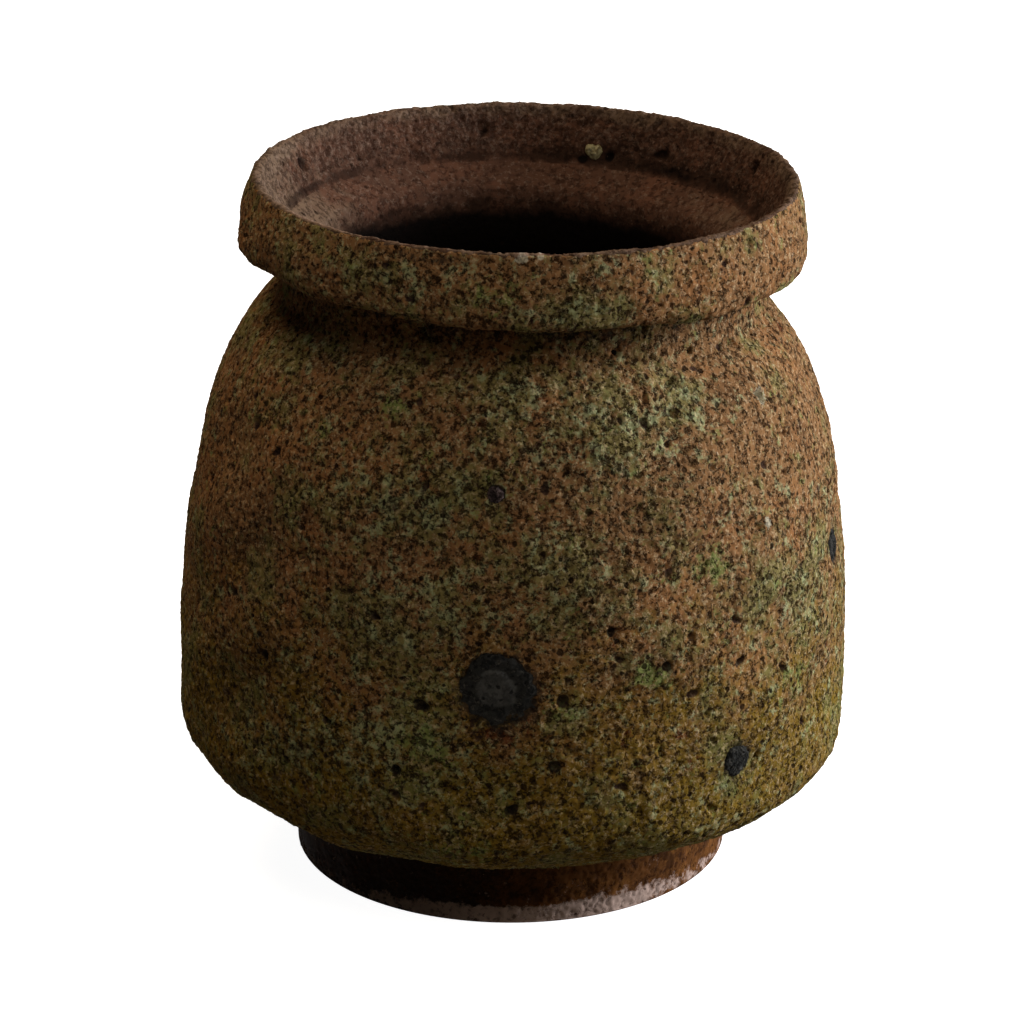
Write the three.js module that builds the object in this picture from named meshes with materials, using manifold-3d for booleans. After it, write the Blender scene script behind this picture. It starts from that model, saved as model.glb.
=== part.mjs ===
// A wide pottery jar with a galleried rim and a turned foot, hand-built from clay sections that are
// luted together with slip, under a gritty fired coat that holds slag stones and a lime chip.
// Millimetres, +Z up. The origin is on the table, under the middle of the foot.
import * as THREE from "three";
import { mergeVertices } from "three/addons/utils/BufferGeometryUtils.js";
import Module from "manifold-3d";

// Foot ring and base
const footRadius = 65.3;
const footFlare = 0.5;
const footHeight = 19;
const footBevel = 0.8;
const footRingWidth = 14;
const slabLedge = 7;
const recessDepth = 8.5;

// Body outline, measured on the outside of the coat
const bodyRadius = 100;
const coatOverhang = 0.6;
const undersideRun = 24.8;
const undersideAngle = 22;
const bellyRise = 27.5;
const bellyTurn = 12.5;
const bellyReach = 47;
const shoulderRadius = 72.4;
const shoulderRise = 125.2;
const shoulderRun = 30.6;
const shoulderAngle = 40;
const neckRadius = 70.2;
const neckRise = 14.3;
const neckRun = 3.2;
const neckReach = 8;

// Collar and gallery
const collarRadius = 82.8;
const collarRise = 4.8;
const collarHeight = 22.5;
const undercutRun = 10;
const undercutAngle = 1;
const collarRound = 4;
const collarReach = 10;
const lipRadius = 79.5;
const lipRun = 4;
const lipEdge = 1.4;
const galleryRadius = 69.7;
const galleryDepth = 15.8;
const ledgeWidth = 6.7;
const ledgeFall = 5.2;
const throatRadius = 59.5;
const throatDrop = 10;

// Walls, coat and joints
const wallThickness = 9.5;
const floorFillet = 17;
const filletHeight = 14;
const coatThickness = 2.5;
const lipCoatThickness = 0.9;
const seamHeight = 92;
const seamScarf = 5;
const slipGap = 0.3;

// Lumps that the potter's hands left in the coat: waves that run round the jar and climb it, each with
// a whole number of crests in one turn and one crest in so many millimetres of height
const lumpHeight = 0.3;
const lumpMargin = 14;
const lumpWaves = [
  { crests: 9, climb: 52, start: 260 },
  { crests: 13, climb: -44, start: 60 },
  { crests: 6, climb: -38, start: 140 },
];

// Set that the jar took in the kiln: it leans towards +X, and its body tilts more than its lip
const lipLean = 4.4;
const bodyTilt = 2.1;
const lipTilt = 0.95;

// Slag stones in the coat: bearing round the jar in degrees from the front, height and half sizes
const largeStone = { bearing: -2.5, height: 88, halfWidth: 11.2, halfHeight: 10.4 };
const smallStone = { bearing: 40, height: 60, halfWidth: 4.8, halfHeight: 5 };
const edgeStone = { bearing: 73.5, height: 107.5, halfWidth: 4.6, halfHeight: 5.4 };
const middleStone = { bearing: -4.3, height: 143, halfWidth: 2.5, halfHeight: 2.5 };
const stoneProud = 0.5;
const stoneUneven = 0.06;
const stoneShoulder = { reach: 0.85, rise: 0.7 };

// Pit that a burnt-out seed left in the coat, and the lime chip on the gallery wall
const seedPit = { bearing: -0.4, height: 52.4, halfLength: 3.1, halfWidth: 1.6, depth: 2, slant: 35 };
const limeChip = { bearing: 162.5, rise: 3.2, radius: 2.6, sink: 0.4 };

// Facets round the jar and along its outlines, outside and inside
const segments = 48;
const lowerSteps = 8;
const lowerInnerSteps = 5;
const filletSteps = 3;
const upperSteps = 7;
const upperInnerSteps = 6;
const neckSteps = 4;
const rollOverSteps = 5;
const flareSteps = 3;
const collarSteps = 7;
const gallerySteps = 4;
const stoneSegments = 18;
const lumpDetail = 2;

// How close two points are to be one, and how finely a height is found on the outline
const weldDistance = 1e-4;
const shareStep = 1e-6;

const wasm = await Module();
wasm.setup();

const radians = THREE.MathUtils.degToRad;
const at = (radius, height) => new THREE.Vector2(radius, height);
const aim = (degrees, length) => at(length, 0).rotateAround(at(0, 0), radians(degrees));

// Heights, stacked from the table up
const wallBase = footHeight + slipGap;
const bellyHeight = footHeight + bellyRise;
const shoulderHeight = bellyHeight + shoulderRise;
const neckHeight = shoulderHeight + neckRise;
const collarBase = neckHeight + 2 * slipGap;
const lipHeight = collarBase + collarHeight;
const galleryHeight = lipHeight - galleryDepth;

// Radii that follow from the foot
const footTopRadius = footRadius + footFlare;
const recessRadius = footRadius - footRingWidth;
const slabSeatRadius = recessRadius + slabLedge;
const coatEdgeRadius = footTopRadius + coatOverhang;

// Depths below the coat's outside
const clayDepth = coatThickness + slipGap;
const innerDepth = clayDepth + wallThickness;

// The coat's outside on the body, from the foot up to the groove under the collar
function makeBodyOutline() {
  const edge = at(coatEdgeRadius, wallBase);
  const belly = at(bodyRadius, bellyHeight);
  const shoulder = at(shoulderRadius, shoulderHeight);
  const neck = at(neckRadius, neckHeight);
  const intoUnderside = edge.clone().add(aim(undersideAngle, undersideRun));
  const intoBelly = at(bodyRadius, bellyHeight - bellyTurn);
  const outOfBelly = at(bodyRadius, bellyHeight + bellyReach);
  const intoShoulder = shoulder.clone().add(aim(-shoulderAngle, shoulderRun));
  const outOfShoulder = shoulder.clone().sub(aim(-shoulderAngle, neckRun));
  const intoNeck = at(neckRadius, neckHeight - neckReach);
  const path = new THREE.CurvePath();
  path.add(new THREE.CubicBezierCurve(edge, intoUnderside, intoBelly, belly));
  path.add(new THREE.CubicBezierCurve(belly, outOfBelly, intoShoulder, shoulder));
  path.add(new THREE.CubicBezierCurve(shoulder, outOfShoulder, intoNeck, neck));
  return path;
}

// The coat's outside on the collar, from the groove round the swelling and up to the lip
function makeCollarOutline() {
  const groove = at(neckRadius + slipGap, collarBase);
  const swell = at(collarRadius, collarBase + collarRise);
  const lip = at(lipRadius, lipHeight);
  const outOfGroove = groove.clone().add(aim(undercutAngle, undercutRun));
  const intoSwell = at(collarRadius, swell.y - collarRound);
  const outOfSwell = at(collarRadius, swell.y + collarReach);
  const intoLip = at(lipRadius, lipHeight - lipRun);
  const path = new THREE.CurvePath();
  path.add(new THREE.CubicBezierCurve(groove, outOfGroove, intoSwell, swell));
  path.add(new THREE.CubicBezierCurve(swell, outOfSwell, intoLip, lip));
  return path;
}

const bodyOutline = makeBodyOutline();
const collarOutline = makeCollarOutline();
const bodyLength = bodyOutline.getLength();
const collarLength = collarOutline.getLength();

// The point that lies a depth below an outline, at a share of its length
function inset(outline, share, depth) {
  const point = outline.getPoint(share);
  const along = outline.getTangent(share);
  return at(point.x - along.y * depth, point.y + along.x * depth);
}

function stations(from, to, steps) {
  return Array.from({ length: steps + 1 }, (_, i) => THREE.MathUtils.lerp(from, to, i / steps));
}

const skin = (outline, shares, depth) => shares.map((share) => inset(outline, share, depth));

// The share of the body outline that lies at a height
function shareAtHeight(height) {
  let low = 0;
  let high = 1;
  while (high - low > shareStep) {
    const middle = (low + high) / 2;
    if (bodyOutline.getPoint(middle).y < height) low = middle;
    else high = middle;
  }
  return low;
}

const gapShare = slipGap / bodyLength;
const seamShare = shareAtHeight(seamHeight);
const scarfShare = seamShare + seamScarf / bodyLength;
const filletShare = shareAtHeight(wallBase + filletHeight);
const shoulderShare = shareAtHeight(shoulderHeight);
const lowerShares = stations(0, seamShare, lowerSteps);
const upperShares = stations(seamShare + gapShare, shoulderShare, upperSteps);
const neckShares = stations(shoulderShare + gapShare, 1, neckSteps);
const bodyShares = [...lowerShares, ...upperShares.slice(1), ...neckShares.slice(1)];
const coatTopShare = 1 - (lipEdge + slipGap) / collarLength;
const collarShares = stations(0, coatTopShare, collarSteps);

// A solid turned from a profile that closes on itself, or that starts and ends on the axis
function turn(profile) {
  const closed = profile[0].x === 0 ? profile : [...profile, profile[0]];
  return new THREE.LatheGeometry(closed, segments).rotateX(Math.PI / 2);
}

// How far the coat stands out in lumps at a share of its outline and a bearing. It lies true at its ends
function lumpAt(outline, share, bearing) {
  const fromEnd = Math.min(share, 1 - share) * outline.getLength();
  const height = outline.getPoint(share).y;
  let lump = 0;
  for (const { crests, climb, start } of lumpWaves) {
    lump += lumpHeight * Math.sin(crests * bearing + (2 * Math.PI * height) / climb + radians(start));
  }
  return lump * THREE.MathUtils.smoothstep(fromEnd, 0, lumpMargin);
}

// A coat turned from its outside, at shares of an outline, and what closes it, with its outside in lumps
function turnCoat(outline, shares, closing) {
  const coat = turn([...skin(outline, shares, 0), ...closing]);
  const position = coat.getAttribute("position");
  const rows = position.count / (segments + 1);
  for (let i = 0; i <= segments; i += 1) {
    const bearing = ((i % segments) / segments) * 2 * Math.PI;
    shares.forEach((share, row) => {
      const { x, y } = inset(outline, share, -lumpAt(outline, share, bearing));
      position.setXYZ(i * rows + row, x * Math.sin(bearing), -x * Math.cos(bearing), y);
    });
  }
  return coat;
}

// The kiln's set: every piece leans and tilts by one rule, so that the joints stay matched
function settle(geometry) {
  const position = geometry.getAttribute("position");
  for (let i = 0; i < position.count; i += 1) {
    const x = position.getX(i);
    const z = position.getZ(i);
    const rise = Math.max(0, (z - bellyHeight) / (lipHeight - bellyHeight));
    const onBody = THREE.MathUtils.smoothstep(z, footHeight, bellyHeight);
    const onCollar = THREE.MathUtils.smoothstep(z, collarBase, lipHeight);
    const tilt = bodyTilt * onBody + (lipTilt - bodyTilt) * onCollar;
    position.setX(i, x + lipLean * rise);
    position.setZ(i, z - Math.tan(radians(tilt)) * x);
  }
  return geometry;
}

function toSolid(geometry) {
  const bare = geometry.clone();
  bare.deleteAttribute("normal");
  bare.deleteAttribute("uv");
  const merged = mergeVertices(bare, weldDistance);
  const vertProperties = new Float32Array(merged.getAttribute("position").array);
  const triVerts = new Uint32Array(merged.index.array);
  return new wasm.Manifold(new wasm.Mesh({ numProp: 3, vertProperties, triVerts }));
}

function toGeometry(solid) {
  const { vertProperties, triVerts } = solid.getMesh();
  const geometry = new THREE.BufferGeometry();
  geometry.setAttribute("position", new THREE.BufferAttribute(new Float32Array(vertProperties), 3));
  geometry.setIndex(new THREE.BufferAttribute(new Uint32Array(triVerts), 1));
  geometry.computeVertexNormals();
  return geometry;
}

// The foot ring: a flat rest face round a recess, with a rebate inside that seats the base slab
function footRing() {
  return turn([
    at(recessRadius + footBevel, 0),
    at(footRadius - footBevel, 0),
    at(footRadius, footBevel),
    at(footTopRadius, footHeight),
    at(slabSeatRadius, footHeight),
    at(slabSeatRadius, recessDepth),
    at(recessRadius, recessDepth),
    at(recessRadius, footBevel),
  ]);
}

function baseSlab() {
  const radius = slabSeatRadius - slipGap;
  const underside = recessDepth + slipGap;
  return turn([at(0, underside), at(radius, underside), at(radius, footHeight), at(0, footHeight)]);
}

// The belly section: it stands on the foot ring and the slab, and ends in a scarf for the shoulder
function lowerWall() {
  const base = at(coatEdgeRadius - clayDepth, wallBase);
  const outside = skin(bodyOutline, lowerShares, clayDepth);
  const inside = skin(bodyOutline, stations(scarfShare, filletShare, lowerInnerSteps), innerDepth);
  const springing = inside.at(-1);
  const floorEdge = at(base.x - floorFillet, wallBase);
  const corner = at((springing.x + floorEdge.x) / 2, wallBase + slipGap);
  const fillet = new THREE.QuadraticBezierCurve(springing, corner, floorEdge);
  return turn([base, ...outside, ...inside, ...fillet.getPoints(filletSteps).slice(1)]);
}

// The shoulder section, from the scarf to the foot of the neck
function upperWall() {
  const outside = skin(bodyOutline, upperShares, clayDepth);
  const innerShares = stations(shoulderShare, scarfShare + gapShare, upperInnerSteps);
  return turn([...outside, ...skin(bodyOutline, innerShares, innerDepth)]);
}

// The cone at the top of the neck ring, which carries the collar
const coneFoot = inset(bodyOutline, 1, clayDepth);
const coneTop = at(galleryRadius - slipGap, galleryHeight);
const coneSlope = (coneTop.x - coneFoot.x) / (coneTop.y - coneFoot.y);
const coneGap = slipGap * Math.hypot(1, coneSlope);
const onCone = (height) => at(coneFoot.x + coneSlope * (height - coneFoot.y) + coneGap, height);

// The neck ring rests on the end of the shoulder. Its top is the sloping gallery ledge, which rolls
// over into the throat
function neckRing() {
  const outside = skin(bodyOutline, neckShares, clayDepth);
  const seatInside = inset(bodyOutline, shoulderShare + gapShare, innerDepth);
  const ledgeInner = at(coneTop.x - ledgeWidth, galleryHeight - ledgeFall);
  const throat = at(throatRadius, ledgeInner.y - throatDrop);
  const overThroat = at(throatRadius, ledgeInner.y - ledgeFall / 3);
  const underThroat = at(throatRadius, (seatInside.y + throat.y) / 2);
  const rollOver = new THREE.QuadraticBezierCurve(ledgeInner, overThroat, throat);
  const flare = new THREE.QuadraticBezierCurve(throat, underThroat, seatInside);
  const overLedge = rollOver.getPoints(rollOverSteps);
  const underLedge = flare.getPoints(flareSteps).slice(1);
  return turn([...outside, coneTop, ...overLedge, ...underLedge]);
}

// How thick the coat is on the collar: it thins out towards the lip
const collarCoat = (share) => THREE.MathUtils.lerp(coatThickness, lipCoatThickness, share ** 2);
const underCollarCoat = (share, below) => inset(collarOutline, share, collarCoat(share) + below);
const collarSkin = (below) => collarShares.map((share) => underCollarCoat(share, below));

// The collar: a flange on the neck's cone. Its inside is the gallery wall, its top the bare worn lip
function rimCollar() {
  const outside = collarSkin(slipGap);
  const lipBase = at(lipRadius, outside.at(-1).y + slipGap);
  const lipInside = at(lipRadius - 2 * lipEdge, lipHeight - lipEdge / 2);
  const galleryFoot = onCone(galleryHeight);
  const cove = at(galleryFoot.x + lipEdge, galleryHeight + galleryDepth / 2);
  const wall = new THREE.QuadraticBezierCurve(lipInside, cove, galleryFoot);
  return turn([
    onCone(outside[0].y),
    ...outside,
    lipBase,
    at(lipRadius, lipHeight - lipEdge / 3),
    at(lipRadius - lipEdge / 2, lipHeight),
    ...wall.getPoints(gallerySteps),
  ]);
}

// The coat on the collar, from the groove to just under the lip
function rimCoat() {
  const inside = collarSkin(0);
  const seat = [onCone(inside[0].y), onCone(collarBase)];
  return turnCoat(collarOutline, collarShares, [...inside.toReversed(), ...seat]);
}

// The coat on the body: it stands on the foot ring, overhangs it a little and ends in the groove
function bodyCoat() {
  const inside = skin(bodyOutline, bodyShares, coatThickness);
  const foot = at(coatEdgeRadius - coatThickness, wallBase);
  return turnCoat(bodyOutline, bodyShares, [...inside.toReversed(), foot]);
}

// Everything inside the coat, which gives a stone the curve of the wall that it lies on
function coatCore() {
  const inside = skin(bodyOutline, bodyShares, coatThickness);
  return turn([at(0, inside[0].y), ...inside, at(0, inside.at(-1).y)]);
}

// Lays a shape, drawn facing +Z, onto the coat at a bearing and a height
function layOnCoat(geometry, { bearing, height }) {
  const share = shareAtHeight(height);
  const surface = inset(bodyOutline, share, -lumpAt(bodyOutline, share, radians(bearing)));
  const along = bodyOutline.getTangent(share);
  const across = new THREE.Vector3(1, 0, 0);
  const upward = new THREE.Vector3(0, -along.x, along.y);
  const outward = new THREE.Vector3(0, -along.y, -along.x);
  const placing = new THREE.Matrix4().makeBasis(across, upward, outward);
  placing.setPosition(0, -surface.x, surface.y);
  return geometry.applyMatrix4(placing).rotateZ(radians(bearing));
}

// A stone with a flat back, a low dome and an uneven outline, grown by a clearance
function stoneBlank(stone, clearance) {
  const side = stone.halfWidth + clearance;
  const back = -2 * coatThickness;
  const front = stoneProud + clearance;
  const shoulder = at(side * stoneShoulder.reach, front * stoneShoulder.rise);
  const profile = [at(0, back), at(side, back), at(side, 0), shoulder, at(0, front)];
  const blank = new THREE.LatheGeometry(profile, stoneSegments).rotateX(Math.PI / 2);
  const position = blank.getAttribute("position");
  for (let i = 0; i < position.count; i += 1) {
    const angle = Math.atan2(position.getY(i), position.getX(i));
    const lobes = Math.sin(2 * angle + stone.height) + Math.sin(3 * angle + stone.bearing);
    const swell = 1 + stoneUneven * lobes;
    position.setX(i, position.getX(i) * swell);
    position.setY(i, position.getY(i) * swell);
  }
  blank.scale(1, (stone.halfHeight + clearance) / side, 1);
  return layOnCoat(blank, stone);
}

function seedPitCutter() {
  const seed = new THREE.IcosahedronGeometry(1, lumpDetail);
  seed.scale(seedPit.halfLength, seedPit.halfWidth, seedPit.depth);
  return layOnCoat(seed.rotateZ(radians(seedPit.slant)), seedPit);
}

// The lime chip: a lump let into the gallery wall
function limeBlank(clearance) {
  const lump = new THREE.IcosahedronGeometry(limeChip.radius + clearance, lumpDetail);
  const slope = (lipRadius - 2 * lipEdge - galleryRadius) / galleryDepth;
  const depth = galleryRadius + slope * limeChip.rise + limeChip.sink;
  lump.translate(0, -depth, galleryHeight + limeChip.rise);
  return lump.rotateZ(radians(limeChip.bearing));
}

const clayColour = 0x6d4c3c;
const footColour = 0x5e3d2a;
const coatColour = 0x84663f;
const slagColour = 0x4b4b4c;
const limeColour = 0xb3aa93;
const clayRoughness = 0.9;
const coatRoughness = 0.95;
const slagRoughness = 0.7;

function piece(name, geometry, color, roughness) {
  const material = new THREE.MeshStandardMaterial({ color, roughness, metalness: 0 });
  const mesh = new THREE.Mesh(settle(geometry), material);
  mesh.name = name;
  return mesh;
}

// Pieces of one step of the assembly, with their own origin at the height that the step starts from
function assembly(height, meshes) {
  const group = new THREE.Group();
  group.position.z = height;
  for (const mesh of meshes) {
    mesh.geometry.translate(0, 0, -height);
    group.add(mesh);
  }
  return group;
}

const core = toSolid(coatCore());

function slagStone(name, stone) {
  const solid = toSolid(stoneBlank(stone, 0)).subtract(core);
  return piece(name, toGeometry(solid), slagColour, slagRoughness);
}

function pittedCoat() {
  let coat = toSolid(bodyCoat()).subtract(toSolid(seedPitCutter()));
  for (const stone of [largeStone, smallStone, edgeStone, middleStone]) {
    coat = coat.subtract(toSolid(stoneBlank(stone, slipGap)));
  }
  return toGeometry(coat);
}

function chippedCollar() {
  return toGeometry(toSolid(rimCollar()).subtract(toSolid(limeBlank(slipGap))));
}

const foot = assembly(0, [
  piece("foot_ring", footRing(), footColour, clayRoughness),
  piece("base_slab", baseSlab(), clayColour, clayRoughness),
]);
const body = assembly(footHeight, [
  piece("lower_wall", lowerWall(), clayColour, clayRoughness),
  piece("upper_wall", upperWall(), clayColour, clayRoughness),
  piece("body_coat", pittedCoat(), coatColour, coatRoughness),
  slagStone("slag_stone_large", largeStone),
  slagStone("slag_stone_small", smallStone),
  slagStone("slag_stone_edge", edgeStone),
  slagStone("slag_stone_middle", middleStone),
]);
const rim = assembly(shoulderHeight, [
  piece("neck_ring", neckRing(), clayColour, clayRoughness),
  piece("rim_collar", chippedCollar(), clayColour, clayRoughness),
  piece("rim_coat", rimCoat(), coatColour, coatRoughness),
  piece("lime_chip", limeBlank(0), limeColour, clayRoughness),
]);

const jar = new THREE.Group();
jar.name = "pottery_jar";
jar.add(foot, body, rim);

export default jar;
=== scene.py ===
"""Looks of a hand-built pottery jar: a rough, lichen-stained coat over bare clay, in a pale studio.

Sizes are millimetres until a mesh is made, which is in metres. +Z is up and the front faces -Y.
A bearing is the angle round the jar in degrees, from the front towards +X.
"""

import logging
import math
from dataclasses import dataclass, field, fields
from enum import Enum
from functools import partial
from typing import Any, Sequence

import bmesh
import bpy
import numpy as np
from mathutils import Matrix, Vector


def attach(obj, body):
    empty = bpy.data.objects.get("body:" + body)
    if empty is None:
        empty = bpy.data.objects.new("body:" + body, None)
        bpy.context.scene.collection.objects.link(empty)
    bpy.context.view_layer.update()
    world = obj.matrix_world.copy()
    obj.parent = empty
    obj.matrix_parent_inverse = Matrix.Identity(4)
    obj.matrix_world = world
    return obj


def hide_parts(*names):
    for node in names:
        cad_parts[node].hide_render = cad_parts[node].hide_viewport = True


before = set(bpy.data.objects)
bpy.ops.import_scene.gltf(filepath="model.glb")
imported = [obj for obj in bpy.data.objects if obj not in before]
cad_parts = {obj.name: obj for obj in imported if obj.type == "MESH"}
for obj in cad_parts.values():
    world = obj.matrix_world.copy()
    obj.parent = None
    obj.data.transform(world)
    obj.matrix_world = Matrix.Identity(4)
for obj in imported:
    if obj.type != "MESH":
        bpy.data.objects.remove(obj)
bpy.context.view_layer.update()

MM = 0.001
BODY = "root"
PROBE = 0.1
MERGE = 1e-7
ALL_ROUND = 1e4
LAYER_SHIFT = 0.37
WHITE = "#ffffff"
LOG = logging.getLogger("pottery_jar")

Point = tuple[float, float]
Colour = tuple[float, float, float, float]


class Field(Enum):
    """A value that is kept on every point of a piece, for its shape or for its finish."""

    OUTWARD = "outward"
    ROUGH = "rough"
    DENT = "dent"
    GRAIN = "grain"
    PIT = "pit"
    LICHEN = "lichen"
    MOSS = "moss"
    RUST = "rust"
    PALE = "pale"
    # Darkening round the pits and stones, and painted shade where shade falls: low on the shaded side, in
    # creases, holes, the groove under the collar, the throat and inside the wall
    SOOT = "soot"
    OCHRE = "ochre"


def to_linear(colour: str) -> Colour:
    """Turn an sRGB hex colour into linear RGBA.

    Args:
        colour: the colour as "#rrggbb".

    Returns:
        The linear red, green, blue and an alpha of one.
    """
    channels = (int(colour[i:i + 2], 16) / 255 for i in (1, 3, 5))
    red, green, blue = (c / 12.92 if c <= 0.04045 else ((c + 0.055) / 1.055) ** 2.4 for c in channels)
    return red, green, blue, 1.0


def smooth_step(values: np.ndarray, low: float, high: float) -> np.ndarray:
    """Shares that rise smoothly from 0 at low to 1 at high, which may be the lower of the two."""
    share = np.clip((values - low) / (high - low), 0, 1)
    return share * share * (3 - 2 * share)


def grade(values: np.ndarray, ends: Point, low: float, high: float) -> np.ndarray:
    """Numbers that go smoothly from the first of two ends at low to the second at high."""
    return ends[0] + (ends[1] - ends[0]) * smooth_step(values, low, high)


def clear_tree(owner: bpy.types.Material | bpy.types.World) -> bpy.types.NodeTree:
    """Give a material or a world a node tree with nothing in it.

    Args:
        owner: the material or world.

    Returns:
        The empty tree.
    """
    owner.use_nodes = True
    owner.node_tree.nodes.clear()
    return owner.node_tree


def add_node(
    tree: bpy.types.NodeTree, kind: str, sockets: dict[Any, Any] | None = None, **settings: Any
) -> bpy.types.Node:
    """Add one node with its settings and links.

    Args:
        tree: the tree that gets the node.
        kind: the node's type.
        sockets: for each input, by name or number, a value, a socket or a node whose first output is meant.
        settings: the node's own properties.

    Returns:
        The new node.
    """
    node = tree.nodes.new(kind)
    for name, value in settings.items():
        setattr(node, name, value)
    for key, value in (sockets or {}).items():
        if isinstance(value, bpy.types.Node):
            value = next(output for output in value.outputs if output.enabled)
        if isinstance(value, bpy.types.NodeSocket):
            tree.links.new(value, node.inputs[key])
        else:
            node.inputs[key].default_value = value
    return node


def bezier(controls: Sequence[Point], count: int = 300) -> np.ndarray:
    """Points on a Bezier curve of any degree.

    Args:
        controls: its control points, as radius and height.
        count: how many points to give.

    Returns:
        An array of count points.
    """
    share = np.linspace(0, 1, count)[:, None]
    rows = [np.tile(np.asarray(point, float), (count, 1)) for point in controls]
    while len(rows) > 1:
        rows = [near * (1 - share) + far * share for near, far in zip(rows, rows[1:])]
    return rows[0]


def aim(start: Point, degrees: float, run: float) -> Point:
    """The point that lies a run away from a start, in a direction."""
    return start[0] + run * math.cos(math.radians(degrees)), start[1] + run * math.sin(math.radians(degrees))


def run_lengths(path: np.ndarray) -> np.ndarray:
    """How far along a path each of its points lies."""
    return np.concatenate([[0], np.cumsum(np.hypot(*np.diff(path, axis=0).T))])


def walk(path: np.ndarray, step: float) -> np.ndarray:
    """Place points along a path at equal steps.

    Args:
        path: the points of the path.
        step: the distance between the new points, about.

    Returns:
        The new points, from the path's first to its last.
    """
    lengths = run_lengths(path)
    stations = np.linspace(0, lengths[-1], max(1, round(lengths[-1] / step)) + 1)
    return np.stack([np.interp(stations, lengths, path[:, axis]) for axis in (0, 1)], 1)


def free_side(path: np.ndarray) -> np.ndarray:
    """Unit vectors to the right of a path, which is the free side of a profile."""
    along = np.gradient(path, axis=0)
    along /= np.hypot(*along.T)[:, None]
    return np.stack([along[:, 1], -along[:, 0]], 1)


@dataclass(frozen=True)
class Kiln:
    """The set that the jar took in the kiln: it leans towards +X, and its body tilts more than its lip."""

    foot_height: float = 19.0
    belly_height: float = 46.5
    collar_base: float = 186.6
    lip_height: float = 209.1
    lip_lean: float = 4.4
    body_tilt: float = 2.1
    lip_tilt: float = 0.95

    def settle(self, points: np.ndarray) -> np.ndarray:
        """Lean and tilt points as the kiln did.

        Args:
            points: points of the true, upright shape.

        Returns:
            The points where they are on the jar.
        """
        across, deep, height = points.T
        rise = np.maximum(0, (height - self.belly_height) / (self.lip_height - self.belly_height))
        on_body = smooth_step(height, self.foot_height, self.belly_height)
        on_collar = smooth_step(height, self.collar_base, self.lip_height)
        tilt = np.radians(self.body_tilt * on_body + (self.lip_tilt - self.body_tilt) * on_collar)
        return np.stack([across + self.lip_lean * rise, deep, height - np.tan(tilt) * across], 1)


@dataclass(frozen=True)
class Hand:
    """Lumps that the potter's hands left in the coat: waves that run round the jar and climb it.

    Each wave has a whole number of crests in one turn, one crest in so many millimetres of height, and
    the angle that it starts at.
    """

    depth: float = 0.3
    margin: float = 14.0
    waves: tuple[tuple[int, float, float], ...] = ((9, 52.0, 260.0), (13, -44.0, 60.0), (6, -38.0, 140.0))

    def lump(self, bearing: float | np.ndarray, height: float | np.ndarray) -> float | np.ndarray:
        """How far the coat stands out at bearings and heights, which is below 0 in a hollow."""
        return sum(
            self.depth * np.sin(np.radians(crests * bearing + 360 * height / climb + start))
            for crests, climb, start in self.waves)

    def fade(self, outline: np.ndarray) -> np.ndarray:
        """What share of the lumps is left along an outline, which lies true at its ends."""
        lengths = run_lengths(outline)
        return smooth_step(np.minimum(lengths, lengths[-1] - lengths), 0, self.margin)


@dataclass(frozen=True)
class Mark:
    """A patch on the jar that is coloured or pressed in, fading out towards its edge."""

    kind: Field
    bearing: float
    height: float
    half_width: float
    half_height: float
    strength: float = 1.0
    slant: float = 0.0

    def weigh(self, bearing: np.ndarray, radius: np.ndarray, height: np.ndarray) -> np.ndarray:
        """How strong the mark is at points of the jar.

        Args:
            bearing: the points' bearings.
            radius: their distances from the axis.
            height: their heights.

        Returns:
            The mark's strength at each point.
        """
        turn = (bearing - self.bearing + 180) % 360 - 180
        across, up = np.radians(turn) * radius, height - self.height
        cos, sin = math.cos(math.radians(self.slant)), math.sin(math.radians(self.slant))
        along, aside = across * cos + up * sin, up * cos - across * sin
        far = np.hypot(along / self.half_width, aside / self.half_height)
        return self.strength * smooth_step(far, 1.0, 0.0)


def lay_marks(places: dict[Field, Sequence[tuple[float, ...]]]) -> tuple[Mark, ...]:
    """Marks by kind, each from its bearing, height, half width, half height, strength and slant."""
    return tuple(Mark(kind, *place) for kind, rows in places.items() for place in rows)


@dataclass(frozen=True)
class Stretch:
    """A stretch of a profile, with its free side on the right, and how rough and lumped it is."""

    points: np.ndarray
    rough: float | np.ndarray = 0.0
    sides: np.ndarray | None = None
    lumps: float | np.ndarray = 0.0

    def free_side(self) -> np.ndarray:
        """The way out of the piece at each point."""
        return free_side(self.points) if self.sides is None else self.sides


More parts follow.
